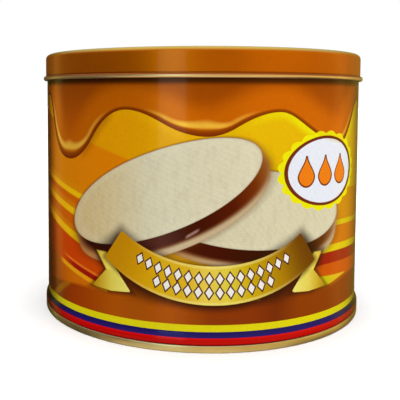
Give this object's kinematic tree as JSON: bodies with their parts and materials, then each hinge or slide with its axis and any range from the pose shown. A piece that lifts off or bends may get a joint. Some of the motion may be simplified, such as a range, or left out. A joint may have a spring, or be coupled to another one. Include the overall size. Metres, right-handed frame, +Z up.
{
  "type": "biscuit tin",
  "caption": "Shut round biscuit tin: a printed cylindrical can with a slip-on lid with a rolled edge, and a base end seamed on below.",
  "frame": {"origin": "middle of the foot ring, on the surface the tin stands on", "axes": "+Z up along the tin's axis, -Y towards the viewer, facing the middle of the printed panel"},
  "size_m": [0.1534, 0.1534, 0.1196],
  "materials": {
    "lid_print": "caramel orange translucent ink on tinplate under clear varnish",
    "can_print": "printed tinplate, caramel and golden yellow, under glossy clear varnish",
    "gold_lacquer": "pale gold lacquered tinplate, glossy"
  },
  "bodies": {
    "root": {"lid": "lid_print", "can": "can_print", "base_end": "gold_lacquer"}
  },
  "joints": []
}
